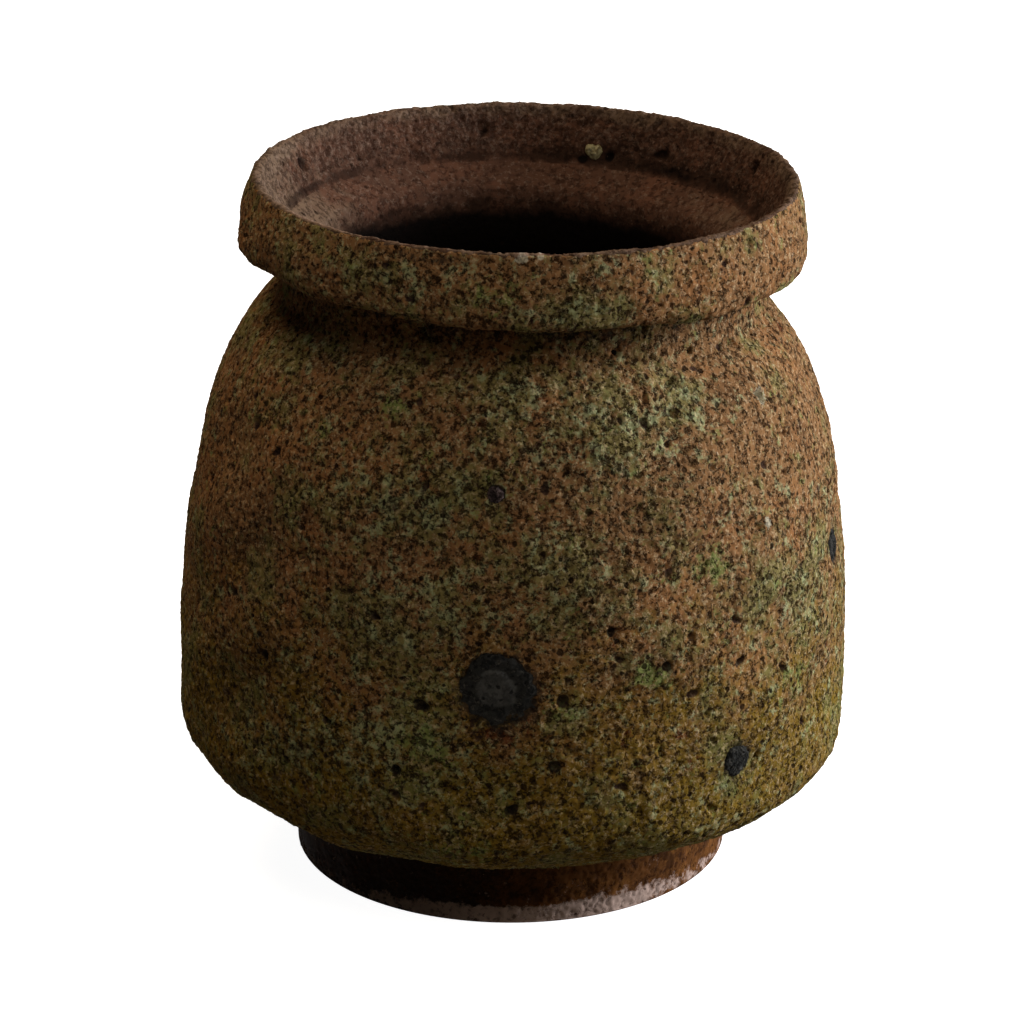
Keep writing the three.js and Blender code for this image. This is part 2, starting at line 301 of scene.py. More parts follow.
@dataclass
class Turned:
    """A closed piece turned from a profile, which goes round a loop or from axis to axis."""

    name: str
    stretches: Sequence[Stretch]
    segments: int
    marks: Sequence[Mark] = ()
    kiln: Kiln = field(default_factory=Kiln)

    def lay(self, radius: np.ndarray, bearing: np.ndarray, height: np.ndarray) -> np.ndarray:
        """Place turned points on the jar, where the kiln left them."""
        turn = np.radians(bearing)
        return self.kiln.settle(np.stack([radius * np.sin(turn), -radius * np.cos(turn), height], 1))

    def mesh(self) -> bpy.types.Object:
        """Make the piece's mesh, with the fields that its skin and finish read.

        Returns:
            The new object, linked into the scene.
        """
        profile = np.vstack([stretch.points for stretch in self.stretches])
        sides = np.vstack([stretch.free_side() for stretch in self.stretches])
        rough = np.concatenate([np.broadcast_to(s.rough, len(s.points)) for s in self.stretches])
        lumps = np.concatenate([np.broadcast_to(s.lumps, len(s.points)) for s in self.stretches])
        turn = np.arange(self.segments) * 360 / self.segments - 180
        bearing = np.tile(turn, len(profile))
        radius, height = np.repeat(profile, self.segments, 0).T
        side, up = np.repeat(sides, self.segments, 0).T
        points = self.lay(radius, bearing, height)
        outward = self.lay(radius + side * PROBE, bearing, height + up * PROBE) - points
        values = {
            Field.OUTWARD: outward / PROBE,
            Field.ROUGH: np.repeat(rough, self.segments),
            Field.DENT: np.repeat(lumps, self.segments) * Hand().lump(bearing, height)}
        for mark in self.marks:
            values[mark.kind] = values.get(mark.kind, 0) + mark.weigh(bearing, radius, height)
        values[Field.DENT] = values[Field.DENT] * MM
        on_axis = profile[0, 0] == 0
        faces = ring_faces(len(profile), self.segments, not on_axis)
        made = make_object(self.name, points * MM, faces, values)
        if on_axis:
            weld(made)
        return made


def ring_faces(rings: int, count: int, closed: bool) -> np.ndarray:
    """The faces between rings of points that follow each other.

    Args:
        rings: how many rings there are.
        count: how many points a ring has.
        closed: whether the last ring is joined to the first.

    Returns:
        Four numbers of points for each face.
    """
    near = np.arange(rings if closed else rings - 1)[:, None] * count
    far = (near + count) % (rings * count)
    here, there = np.arange(count), (np.arange(count) + 1) % count
    return np.stack([near + here, near + there, far + there, far + here], -1).reshape(-1, 4)


def place_object(name: str, data: bpy.types.ID) -> bpy.types.Object:
    """Put a mesh, a light or a camera into the scene.

    Args:
        name: the new object's name.
        data: what it holds.

    Returns:
        The new object.
    """
    made = bpy.data.objects.new(name, data)
    bpy.context.scene.collection.objects.link(made)
    return made


def make_object(
    name: str, points: np.ndarray, faces: np.ndarray, values: dict[Field, np.ndarray]
) -> bpy.types.Object:
    """Make a mesh object that carries fields on its points and is shaded smooth where it is rough.

    Args:
        name: the piece's name.
        points: its points, in metres.
        faces: its faces, as numbers of points.
        values: the fields, with a number or a vector for each point.

    Returns:
        The new object, linked into the scene.
    """
    mesh = bpy.data.meshes.new(name)
    mesh.from_pydata(points, [], faces)
    for kind, numbers in values.items():
        vector = numbers.ndim > 1
        stored = mesh.attributes.new(kind.value, "FLOAT_VECTOR" if vector else "FLOAT", "POINT")
        stored.data.foreach_set("vector" if vector else "value", numbers.ravel())
    mesh.polygons.foreach_set("use_smooth", values[Field.ROUGH][faces].min(1) > 0)
    mesh.update()
    return place_object(name, mesh)


def weld(piece: bpy.types.Object) -> None:
    """Merge the points that fall together where a piece meets its axis."""
    whole = bmesh.new()
    whole.from_mesh(piece.data)
    bmesh.ops.remove_doubles(whole, verts=whole.verts, dist=MERGE)
    whole.to_mesh(piece.data)
    whole.free()


def part_rings(whole: bpy.types.Object, name: str, rings: np.ndarray, count: int) -> bpy.types.Object:
    """Make a closed piece from some rings of a turned one, shaded as the whole is.

    Args:
        whole: the piece with all the rings, already roughened.
        name: the new piece's name.
        rings: the numbers of its rings, in order.
        count: how many points a ring has.

    Returns:
        The new object, linked into the scene.
    """
    mesh = whole.data
    picked = (rings[:, None] * count + np.arange(count)).ravel()
    points, normals = np.empty((2, len(mesh.vertices), 3), np.float32)
    mesh.vertices.foreach_get("co", points.ravel())
    mesh.vertex_normals.foreach_get("vector", normals.ravel())
    values = {}
    for kind in Field:
        if kind is not Field.OUTWARD and kind.value in mesh.attributes:
            numbers = np.empty(len(mesh.vertices), np.float32)
            mesh.attributes[kind.value].data.foreach_get("value", numbers)
            values[kind] = numbers[picked]
    made = make_object(name, points[picked], ring_faces(len(rings), count, True), values)
    made.data.materials.append(mesh.materials[0])
    made.data.normals_split_custom_set_from_vertices(normals[picked])
    return made


@dataclass(frozen=True)
class RoughSkin:
    """How a fired surface is lumped, crusted, grained, pored and pitted: sizes and depths."""

    zone_size: float = 34.0
    lump_size: float = 12.0
    lump_depth: float = 0.25
    crust_size: float = 3.4
    crust_depth: float = 0.45
    grain_size: float = 1.3
    grain_depth: float = 0.22
    pore_spacing: float = 2.6
    pore_depth: float = 0.55
    pit_spacing: float = 6.8
    pit_depth: float = 1.4
    floor: float = 2.1
    seed: float = 17.0

    TREE_NAME = "rough_fired_skin"
    WAVES = (("zone", 1.0), ("lump", 1.0), ("crust", 2.0), ("grain", 2.0))
    WAVE_MIX = 0.6
    WAVE_RANGE = (0.25, 0.75)
    ZONE_RANGE = (-0.6, 0.6)
    ZONE_LEAST = 0.25
    HOLES = (("pore", 0.1, 0.4), ("pit", 0.2, 0.32))
    HOLE_SLOPE = 6.0

    def tree(self) -> bpy.types.NodeTree:
        """Make the tree that roughens a piece, which all pieces share.

        Returns:
            The tree, made on its first use.
        """
        if self.TREE_NAME in bpy.data.node_groups:
            return bpy.data.node_groups[self.TREE_NAME]
        tree = bpy.data.node_groups.new(self.TREE_NAME, "GeometryNodeTree")
        tree.is_modifier = True
        tree.interface.new_socket("Geometry", in_out="INPUT", socket_type="NodeSocketGeometry")
        for size in fields(self):
            tree.interface.new_socket(size.name, in_out="INPUT", socket_type="NodeSocketFloat")
        tree.interface.new_socket("material", in_out="INPUT", socket_type="NodeSocketMaterial")
        tree.interface.new_socket("Geometry", in_out="OUTPUT", socket_type="NodeSocketGeometry")
        add = partial(add_node, tree)
        given = add("NodeGroupInput").outputs
        place = add("ShaderNodeVectorMath", {
            0: add("GeometryNodeInputPosition"), 1: given["seed"]}, operation="ADD")
        rough, dent = (
            add("GeometryNodeInputNamedAttribute", {"Name": kind.value}, data_type="FLOAT")
            for kind in (Field.ROUGH, Field.DENT))

        waves = {}
        for name, detail in self.WAVES:
            scale = add("ShaderNodeMath", {0: 1.0, 1: given[f"{name}_size"]}, operation="DIVIDE")
            noise = add("ShaderNodeTexNoise", {
                "Vector": place, "Scale": scale, "Detail": detail, "Roughness": self.WAVE_MIX})
            low, high = self.WAVE_RANGE
            waves[name] = add("ShaderNodeMapRange", {
                "Value": noise, "From Min": low, "From Max": high, "To Min": -1.0}, clamp=False)
        low, high = self.ZONE_RANGE
        zone = add("ShaderNodeMapRange", {
            "Value": waves["zone"], "From Min": low, "From Max": high, "To Min": self.ZONE_LEAST})
        heights = {
            name: add("ShaderNodeMath", {0: waves[name], 1: given[f"{name}_depth"]}, operation="MULTIPLY")
            for name in ("lump", "crust", "grain")}
        height = add("ShaderNodeMath", {0: heights["lump"], 1: heights["grain"]}, operation="ADD")
        height = add("ShaderNodeMath", {0: heights["crust"], 1: zone, 2: height}, operation="MULTIPLY_ADD")

        hollow: Any = 0.0
        for name, least, most in self.HOLES:
            spacing = given[f"{name}_spacing"]
            scale = add("ShaderNodeMath", {0: 1.0, 1: spacing}, operation="DIVIDE")
            ruffle = add("ShaderNodeTexNoise", {"Vector": place, "Scale": scale, "Detail": 2.0})
            bent = add("ShaderNodeVectorMath", {
                0: ruffle.outputs["Color"], 1: (0.5, 0.5, 0.5)}, operation="SUBTRACT")
            shift = add("ShaderNodeVectorMath", {0: bent, "Scale": spacing}, operation="SCALE")
            moved = add("ShaderNodeVectorMath", {0: place, 1: shift}, operation="ADD")
            cells = add("ShaderNodeTexVoronoi", {"Vector": moved, "Scale": scale})
            luck = add("ShaderNodeSeparateXYZ", {0: cells.outputs["Color"]})
            wide = add("ShaderNodeMapRange", {"Value": luck, "From Min": least, "To Max": most})
            if name == "pore":
                wide = add("ShaderNodeMath", {0: wide, 1: zone}, operation="MULTIPLY")
            inside = add("ShaderNodeMath", {0: wide, 1: cells.outputs["Distance"]}, operation="SUBTRACT")
            hole = add(
                "ShaderNodeMath", {0: inside, 1: self.HOLE_SLOPE}, operation="MULTIPLY", use_clamp=True)
            hollow = add("ShaderNodeMath", {
                0: hole, 1: given[f"{name}_depth"], 2: hollow}, operation="MULTIPLY_ADD")
        height = add("ShaderNodeMath", {0: height, 1: hollow}, operation="SUBTRACT")

        outward = add(
            "GeometryNodeInputNamedAttribute", {"Name": Field.OUTWARD.value}, data_type="FLOAT_VECTOR")
        height = add("ShaderNodeMath", {0: height, 1: rough, 2: dent}, operation="MULTIPLY_ADD")
        deepest = add("ShaderNodeMath", {0: given["floor"], 1: -1.0}, operation="MULTIPLY")
        height = add("ShaderNodeMath", {0: height, 1: deepest}, operation="MAXIMUM")
        shift = add("ShaderNodeVectorMath", {0: outward, "Scale": height}, operation="SCALE")
        shape = add("GeometryNodeSetPosition", {"Geometry": given["Geometry"], "Offset": shift})

        for kind, value in ((Field.PIT, hollow), (Field.GRAIN, heights["grain"])):
            depth = add("ShaderNodeMath", {0: value, 1: rough}, operation="MULTIPLY")
            depth = add("ShaderNodeMath", {0: depth, 1: MM}, operation="DIVIDE")
            shape = add("GeometryNodeStoreNamedAttribute", {
                "Geometry": shape, "Name": kind.value, "Value": depth}, data_type="FLOAT", domain="POINT")
        shape = add("GeometryNodeRealizeInstances", {"Geometry": shape})
        shape = add("GeometryNodeSetMaterial", {"Geometry": shape, "Material": given["material"]})
        add("NodeGroupOutput", {"Geometry": shape})
        return tree

    def roughen(self, piece: bpy.types.Object, material: bpy.types.Material) -> None:
        """Roughen a piece and give it its material, leaving a plain mesh.

        Args:
            piece: the piece, which carries the outward, rough and dent fields.
            material: what it is made of.
        """
        tree = self.tree()
        sockets = {item.name: item.identifier for item in tree.interface.items_tree if item.in_out == "INPUT"}
        modifier = piece.modifiers.new(self.TREE_NAME, "NODES")
        modifier.node_group = tree
        for size in fields(self):
            modifier[sockets[size.name]] = getattr(self, size.name) * MM
        modifier[sockets["material"]] = material
        evaluated = piece.evaluated_get(bpy.context.evaluated_depsgraph_get())
        plain = bpy.data.meshes.new_from_object(evaluated)
        piece.modifiers.remove(modifier)
        base = piece.data
        piece.data = plain
        plain.name = piece.name
        bpy.data.meshes.remove(base)


class Pattern(Enum):
    """What breaks up a layer, by its node, output and settings: soft noise, winding ridges or holes."""

    NOISE = ("ShaderNodeTexNoise", "Fac", {})
    RIDGE = ("ShaderNodeTexNoise", "Fac", {"noise_type": "RIDGED_MULTIFRACTAL"})
    PORE = ("ShaderNodeTexVoronoi", "Distance", {})


@dataclass(frozen=True)
class Layer:
    """A colour that lies where a pattern, with a field added, is high enough, and how far it stands out."""

    colour: str
    low: float
    high: float
    strength: float = 1.0
    kind: Field | None = None
    gain: float = 1.0
    size: float = 8.0
    share: float = 1.0
    detail: float = 3.0
    pattern: Pattern = Pattern.NOISE
    relief: float = 0.0
    luck: float = 0.0


@dataclass(frozen=True)
class Finish:
    """A fired surface: its ground colour and the layers over it."""

    name: str
    slot: str
    ground: str
    layers: tuple[Layer, ...]
    roughness: float = 0.95
    specular: float = 0.04
    ruffle_size: float = 1.2
    ruffle: float = 0.7
    texture_mix: float = 0.75

    def material(self) -> bpy.types.Material:
        """Make the material from the finish.

        Returns:
            The material, made on its first use.
        """
        if self.name in bpy.data.materials:
            return bpy.data.materials[self.name]
        material = bpy.data.materials.new(self.name)
        add = partial(add_node, clear_tree(material))
        place = add("ShaderNodeTexCoord").outputs["Object"]
        ruffle = add("ShaderNodeTexNoise", {
            "Vector": place, "Scale": 1 / (self.ruffle_size * MM), "Detail": 1.0}).outputs["Color"]
        ruffled = add("ShaderNodeVectorMath", {
            0: ruffle, 1: (self.ruffle * MM,) * 3, 2: place}, operation="MULTIPLY_ADD")
        colour: Any = to_linear(self.ground)
        height: Any = 0.0
        for number, layer in enumerate(self.layers):
            shift = (number * LAYER_SHIFT, 0.0, 0.0)
            moved = add("ShaderNodeMapping", {"Vector": ruffled, "Location": shift})
            kind, output, settings = layer.pattern.value
            texture = add(kind, {
                "Vector": moved, "Scale": 1 / (layer.size * MM), "Detail": layer.detail,
                "Roughness": self.texture_mix}, **settings)
            level = add("ShaderNodeMath", {
                0: texture.outputs[output], 1: layer.share, 2: 0.5 * (1 - layer.share)},
                operation="MULTIPLY_ADD")
            if layer.luck:
                level = add("ShaderNodeMath", {
                    0: texture.outputs["Color"], 1: layer.luck, 2: level}, operation="MULTIPLY_ADD")
            if layer.kind:
                known = add("ShaderNodeAttribute", attribute_name=layer.kind.value).outputs["Fac"]
                level = add("ShaderNodeMath", {0: known, 1: layer.gain, 2: level}, operation="MULTIPLY_ADD")
            cover = add("ShaderNodeMapRange", {
                "Value": level, "From Min": layer.low, "From Max": layer.high, "To Max": layer.strength},
                interpolation_type="SMOOTHSTEP")
            colour = add("ShaderNodeMix", {0: cover, 6: colour, 7: to_linear(layer.colour)}, data_type="RGBA")
            if layer.relief:
                height = add("ShaderNodeMath", {
                    0: cover, 1: layer.relief, 2: height}, operation="MULTIPLY_ADD")
        bump = add("ShaderNodeBump", {"Height": height, "Distance": MM, "Strength": 1.0})
        shader = add("ShaderNodeBsdfPrincipled", {
            "Base Color": colour, "Roughness": self.roughness, "Specular IOR Level": self.specular,
            "Normal": bump})
        add("ShaderNodeOutputMaterial", {"Surface": shader})
        return material


# A gritty engobe, fired and left outdoors: light and dark grains with pinholes, ochre algae low down,
# grey-green lichen and moss in patches, and rust-red and purple specks where iron burnt out
GRIT_COAT = Finish("gritty_fired_engobe", "grit_coat", "#8f6945", (
    Layer("#9c6b42", 0.47, 0.58, 0.6, size=40.0, detail=10.0),
    Layer("#7f671f", 0.58, 0.95, 0.9, Field.OCHRE, 0.5, size=16.0, detail=6.0),
    Layer("#5a412c", 0.53, 0.61, 0.5, size=14.0, detail=8.0),
    Layer("#777a48", 0.49, 0.60, 0.65, Field.LICHEN, 0.10, size=20.0, detail=10.0),
    Layer("#abb487", 0.54, 0.64, 0.7, Field.LICHEN, 0.10, size=4.5, detail=8.0),
    Layer("#7f9050", 0.55, 0.70, 0.8, Field.MOSS, 0.18, size=5.0, detail=8.0),
    Layer("#6a3420", 0.60, 0.68, 0.8, Field.RUST, 0.16, size=8.0, detail=7.0),
    Layer("#3d2c2d", 0.60, 0.67, 0.7, size=8.0, detail=7.0),
    Layer("#e6d3b4", 0.55, 0.95, 0.6, size=2.4, detail=1.0, pattern=Pattern.RIDGE, relief=0.45),
    Layer("#dec49a", 0.50, 0.68, 0.5, size=1.3, relief=0.2),
    # Dark gaps between the grains, sunk by the bump: partly the grain's colour, partly painted shade in the
    # gaps
    Layer("#201004", 0.50, 0.38, 0.88, Field.LICHEN, -0.015, size=1.8, detail=4.0, relief=-0.5),
    Layer("#1d0f05", 0.42, 0.32, 0.85, Field.LICHEN, -0.05, size=3.4, detail=4.0, relief=-0.6),
    Layer("#d0b286", 0.75, 1.20, 0.4, Field.GRAIN, 3.0, share=0.0),
    # Darker where the grain lies low: partly the grain's colour, partly painted shade in the hollows
    Layer("#2b1a0e", 0.40, 0.00, 0.6, Field.GRAIN, 3.0, share=0.0),
    # Dark grey-brown where the shade field is high: painted shade low on the left and under the collar, and
    # darkening round the pits and stones
    Layer("#2a2420", 0.60, 0.78, 0.85, Field.SOOT, 0.8, size=3.0, detail=5.0),
    # Pinholes, sunk by the bump and darkened: partly their colour, partly painted shade in them
    Layer("#1d120b", 0.50, 0.34, 0.85, size=2.6, detail=0.0, pattern=Pattern.PORE, relief=-0.4, luck=0.8),
    Layer("#3a2a27", 0.62, 1.10, 0.85, Field.PIT, 0.6, share=0.0),
    Layer("#c9c0a6", 0.85, 1.15, 0.85, Field.PALE, 1.0, size=1.4, detail=4.0, share=1.5),
))
# Earthenware left bare on the wheel: red-brown, smoothed by wet fingers, with dust, fine sand and painted
# shade
BARE_CLAY = Finish("bare_thrown_earthenware", "bare_clay", "#573d30", (
    Layer("#6b4837", 0.48, 0.60, 0.6, size=15.0, detail=6.0),
    Layer("#7f6a56", 0.60, 1.00, 0.75, Field.OCHRE, 0.5, size=8.0, detail=6.0),
    Layer("#8f7868", 0.54, 0.70, 0.45, Field.ROUGH, 0.08, size=1.6, detail=4.0, relief=0.2),
    Layer("#2c1a12", 0.46, 0.34, 0.6, Field.ROUGH, -0.08, size=2.0, detail=5.0, relief=-0.3),
    # These two layers are painted shade where the shade field is high: brown-black along the crease and at
    # the back of the gallery wall, near black in the throat and inside the wall
    Layer("#2a1c15", 0.58, 0.80, 0.75, Field.SOOT, 0.35, size=6.0, detail=6.0),
    Layer("#0f0c0a", 0.90, 1.30, 0.94, Field.SOOT, 0.6, size=16.0),
    Layer("#a88a78", 0.75, 1.20, 0.3, Field.GRAIN, 3.0, share=0.0),
    Layer("#23150e", 0.40, 0.00, 0.4, Field.GRAIN, 3.0, share=0.0),
    Layer("#24160f", 0.42, 0.26, 0.8, size=3.2, detail=0.0, pattern=Pattern.PORE, relief=-0.2, luck=0.9),
    Layer("#1a100b", 0.62, 1.10, 0.85, Field.PIT, 0.6, share=0.0),
    Layer("#957b68", 0.70, 0.95, 0.8, Field.PALE, 1.0, size=2.5),
    Layer("#d0c4b4", 1.30, 1.60, 0.85, Field.PALE, 1.0, size=2.5),
), roughness=0.88)
# The turned foot: orange-brown clay that took in dirt, worn to pale biscuit where it stands, with painted
# shade
FOOT_CLAY = Finish("turned_foot_earthenware", "foot_clay", "#6a4322", (
    Layer("#8d5d2f", 0.50, 0.60, 0.7, size=9.0, detail=7.0),
    Layer("#3a2211", 0.50, 0.60, 0.8, size=7.0, detail=8.0),
    Layer("#2a170b", 0.46, 0.36, 0.7, size=1.8, relief=-0.1),
    # Near black where the shade field is high: dirt and painted shade on the foot's sides
    Layer("#070403", 0.62, 1.00, 0.96, Field.SOOT, 0.6, size=9.0, detail=5.0),
    Layer("#d0b5a7", 0.76, 1.14, 0.92, Field.PALE, 1.0, size=4.0, detail=9.0, share=2.6),
    Layer("#4a3022", 0.45, 0.35, 0.7, size=3.0, detail=6.0),
    Layer("#3a2216", 0.42, 0.26, 0.7, size=2.6, detail=0.0, pattern=Pattern.PORE, relief=-0.15, luck=0.8),
    Layer("#2b1a12", 0.40, 0.00, 0.5, Field.GRAIN, 3.0, share=0.0),
), roughness=0.88)
# Iron slag that melted into the coat: dense, nearly black, smoother than the clay, with a dull gloss
SLAG = Finish("iron_slag_stone", "slag", "#292927", (
    Layer("#43423e", 0.51, 0.62, 0.7, size=4.0, detail=8.0, relief=0.3),
    Layer("#0c0c0b", 0.51, 0.58, 0.85, size=4.0, detail=8.0, relief=-0.3),
    Layer("#6a665f", 0.57, 0.70, 0.6, Field.ROUGH, 0.03, size=1.4, detail=4.0, relief=0.1),
    Layer("#585856", 0.28, 0.42, 0.7, Field.ROUGH, -0.3, size=5.0, share=0.5),
    Layer("#0a0909", 0.40, 0.00, 0.8, Field.GRAIN, 3.0, share=0.0),
    Layer("#080807", 0.46, 0.30, 0.85, size=2.2, detail=0.0, pattern=Pattern.PORE, relief=-0.3, luck=0.7),
), roughness=0.85, specular=0.08)
# A grain of clinker, burnt through to a dull purple grey and split by fine cracks
CLINKER = Finish("purple_clinker_grain", "slag", "#4a3d3d", (
    Layer("#857573", 0.50, 0.62, 0.6, size=1.6, relief=0.2),
    Layer("#17100f", 0.50, 0.38, 0.85, size=1.8, detail=4.0, relief=-0.4),
    Layer("#0d0908", 0.40, 0.00, 0.6, Field.GRAIN, 3.0, share=0.0),
), roughness=0.85, specular=0.08)
# A lump of burnt lime that came to the surface: chalky off-white, stained by the clay round it
LIME = Finish("burnt_lime_lump", "lime", "#98906c", (
    Layer("#6a5d40", 0.47, 0.58, 0.8, size=2.6, detail=5.0),
    Layer("#c4bfa4", 0.54, 0.66, 0.6, size=1.6, relief=0.1),
))

# Burnt-out pits that show singly: bearing, height, half width, half height and slant
SINGLE_PITS = (
    (0.0, 52.4, 3.3, 1.9, 35.0), (-45.8, 84.2, 2.0, 2.6, 0.0), (-15.2, 81.8, 3.6, 2.2, -20.0),
    (-19.0, 61.4, 2.2, 2.4, 0.0), (6.8, 65.9, 2.8, 2.4, 0.0), (7.9, 85.6, 2.6, 3.0, 0.0),
    (25.5, 93.2, 2.2, 2.2, 0.0), (15.8, 104.9, 1.9, 1.9, 0.0), (55.2, 159.4, 1.8, 2.6, 0.0),
)
# What shows on the coat: ochre algae from the foot up, painted shade low on the left and in the groove
# under the collar, green moss, grey lichen and places without it, pale chips, rust, and the darkened pits
COAT_MARKS = lay_marks({
    Field.OCHRE: ((0, 22, ALL_ROUND, 130),),
    # Painted shade: darker low on the shaded left and in the groove under the collar; the pits and stones are
    # darkened below
    Field.SOOT: ((-30, 19, 90, 8, 0.4), (-72, 24, 100, 26, 0.26), (0, 187, ALL_ROUND, 12, 0.3)),
    Field.MOSS: (
        (22.5, 91.5, 10, 8, 1.2), (36.5, 118.5, 11, 9), (-13.5, 70, 15, 13, 0.8), (-27, 162, 7, 5, 0.7),
        (-40, 152, 5, 4, 0.7), (10, 103.5, 8, 7, 0.6), (54, 78, 12, 10, 0.6), (8, 82, 8, 7, 0.6),
        (-77, 178, 10, 6, 0.7), (-10, 40, 26, 7, 0.6)),
    Field.LICHEN: (
        (-22, 138, 46, 16, 0.7), (14, 156, 44, 18, 0.6), (36, 162, 28, 11, 0.5), (9.5, 120, 28, 24, 0.55),
        (-16, 110, 38, 20, 0.65), (-19, 68, 42, 26, 0.8), (-42, 62, 32, 14, 0.6), (-3, 169, 18, 10, 0.7),
        (60, 106, 24, 24, 0.6), (47, 150, 26, 9, -0.8), (-58, 128, 34, 26, -0.7), (30, 110, 16, 8, -0.6),
        (80, 152, 60, 34, -0.6)),
    Field.PALE: ((49.0, 126.8, 2.6, 3.6, 0.8), (55.2, 159.4, 4.2, 4.2, 0.9)),
    Field.RUST: ((-2.0, 75.5, 16, 6), (29.0, 72.3, 6, 4), (-8.5, 85.0, 4, 9, 0.8)),
}) + lay_marks({
    kind: tuple((*place, strength, slant) for *place, slant in SINGLE_PITS)
    for kind, strength in ((Field.DENT, -2.4), (Field.SOOT, 1.1))
})
# Pale chips at the front of the lip, which the coat and the bare clay share
LIP_CHIPS = lay_marks({Field.PALE: ((-1.0, 208.2, 3.4, 2.8, 1.2), (2.8, 208.4, 1.5, 1.8, 1.1))})
# The collar's coat: a swelling at its lower left edge, growth, and a darker band just under the lip at the
# front left
RIM_MARKS = LIP_CHIPS + lay_marks({
    Field.DENT: ((-85.0, 187.5, 50, 5, 1.0),),
    Field.LICHEN: (
        (-26, 200.5, 24, 8, 0.65), (8.5, 193, 26, 6, 0.65), (23, 205, 22, 6, 0.6), (52, 200, 64, 18, -0.9)),
    Field.MOSS: ((-10.5, 198.5, 9, 5, 0.8), (-4, 199.5, 8, 6, 0.6), (63, 188.5, 14, 4, 0.7)),
    Field.SOOT: ((-22, 206, 26, 3, 0.25),),
})
# The lip and the gallery wall: worn or limed pale, dusty, with painted shade low on the wall at the back
# and along the crease, and a hole by the lime lump with painted shade in it and beside it
LIP_MARKS = LIP_CHIPS + lay_marks({
    Field.PALE: ((-50, 209.2, 40, 1.2, 0.6), (162.5, 196.6, 4.6, 3.0, 0.4)),
    # Painted shade: the back of the wall above the ledge, the crease, and the hole by the lime lump and the
    # hollow beside it
    Field.SOOT: (
        (140, 196.8, 105, 7, 0.75), (0, 194.4, ALL_ROUND, 3.4, 0.4), (-118, 193.9, 90, 2.6, 0.42),
        (165.0, 194.4, 2.0, 1.4, 1.2), (158.4, 196.2, 2.2, 2.4, 1.1)),
    Field.DENT: ((158.4, 196.2, 2.2, 2.4, -1.2),),
    Field.OCHRE: ((180, 208, ALL_ROUND, 6, 0.7), (-80, 198, 75, 30)),
})
# Painted shade lies in the crease and darkens the throat from the ledge's inner edge down, and dust lies on
# the ledge
NECK_MARKS = lay_marks({
    Field.SOOT: ((0, 193.4, ALL_ROUND, 1.6, 0.25), (0, 167, ALL_ROUND, 22.5, 2.4)),
    Field.OCHRE: ((-80, 192, 75, 30, 1.4), (112, 191, 85, 9, 0.45)),
})
# The inside of the wall is darkened all over: painted shade
WALL_MARKS = lay_marks({Field.SOOT: ((0, 90, ALL_ROUND, 400, 1.5),)})


def fix(piece: bpy.types.Object, node: str) -> bpy.types.Object:
    """Fix a finished piece to the jar in place of a plain node.

    Args:
        piece: the piece.
        node: the node that it stands for.

    Returns:
        The piece.
    """
    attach(piece, BODY)
    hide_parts(node)
    return piece


def dress(piece: Turned, skin: RoughSkin, finish: Finish, node: str) -> bpy.types.Object:
    """Make a piece, roughen it and fix it to the jar in place of a plain node.

    Args:
        piece: the piece.
        skin: how rough it is.
        finish: what it is made of.
        node: the node that it stands for.

    Returns:
        The finished object.
    """
    made = piece.mesh()
    skin.roughen(made, finish.material())
    return fix(made, node)


@dataclass
class Stone(Turned):
    """A slag stone: a low dome on the body's outline, with an uneven edge and a core off its middle."""

    bearing: float = 0.0
    height: float = 0.0
    half_width: float = 5.0
    half_height: float = 5.0
    core_across: float = 0.0
    core_up: float = 0.0
    uneven: float = 0.06
    outline: np.ndarray = field(default_factory=lambda: np.zeros((2, 2)))

    LOBES = (2, 3, 5, 7, 11, 13, 17, 19, 23)
    LOBE_TURN = 7

    def lay(self, radius: np.ndarray, bearing: np.ndarray, height: np.ndarray) -> np.ndarray:
        """Place points of the dome, whose radius runs from 0 to 1, on the body's outline."""
        turn = np.radians(bearing)
        swell = 1 + self.uneven * sum(
            np.sin(lobes * turn + self.LOBE_TURN * lobes ** 2 + self.bearing) / math.sqrt(lobes)
            for lobes in self.LOBES)
        across = radius * swell * np.sin(turn) * self.half_width + self.core_across * (1 - radius)
        up = -radius * swell * np.cos(turn) * self.half_height + self.core_up * (1 - radius)
        lengths = run_lengths(self.outline)
        station = np.interp(self.height, self.outline[:, 1], lengths) + up
        sides = free_side(self.outline)
        out, rise, side, lift = (np.interp(station, lengths, row) for row in (*self.outline.T, *sides.T))
        return super().lay(out + side * height, self.bearing + np.degrees(across / out), rise + lift * height)


@dataclass
class Lump(Turned):
    """A lump round a point of the gallery wall, turned on its own upright axis."""

    bearing: float = 0.0
    reach: float = 0.0
    height: float = 0.0

    def lay(self, radius: np.ndarray, bearing: np.ndarray, height: np.ndarray) -> np.ndarray:
        """Place points of the lump, which is turned round its own middle."""
        turn, centre = np.radians(bearing), math.radians(self.bearing)
        across = radius * np.sin(turn) + self.reach * math.sin(centre)
        deep = -radius * np.cos(turn) - self.reach * math.cos(centre)
        return self.kiln.settle(np.stack([across, deep, height + self.height], 1))


